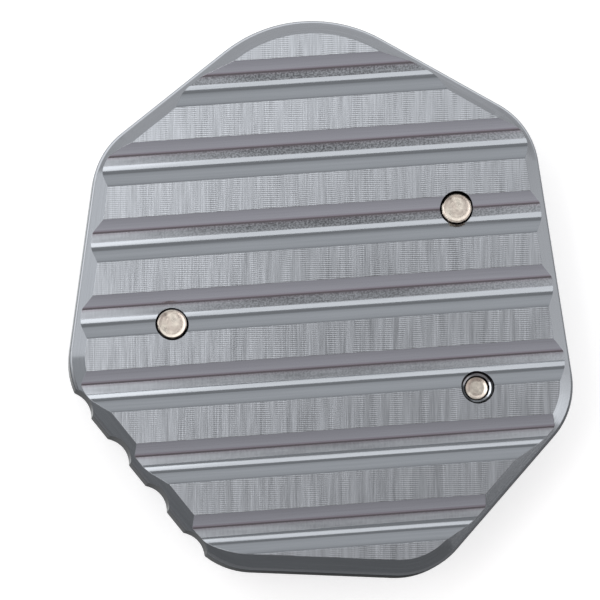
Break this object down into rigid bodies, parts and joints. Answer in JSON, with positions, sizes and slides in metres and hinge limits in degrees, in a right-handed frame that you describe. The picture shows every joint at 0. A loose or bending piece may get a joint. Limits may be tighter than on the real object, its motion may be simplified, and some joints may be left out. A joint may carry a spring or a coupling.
{
  "type": "kickstand pad",
  "caption": "Wide grooved aluminium foot that clamps round a motorbike's side stand so it doesn't sink into soft ground.",
  "frame": {"origin": "centre of the base plate's plan, on the clamp plate's free face, which the pad lies on", "axes": "+X along the grooves, +Z out of the grooved ground face, +Y across the grooves to the rounded peak"},
  "size_m": [0.0853, 0.0958, 0.018],
  "materials": {
    "grey_anodised_aluminium": "milled and anodised gun-metal grey, satin",
    "screw_steel": "bright turned stainless steel"
  },
  "bodies": {
    "root": {"base_plate": "grey_anodised_aluminium", "clamp_plate": "grey_anodised_aluminium", "clamp_screws": "screw_steel", "short_clamp_screw": "screw_steel"}
  },
  "joints": []
}
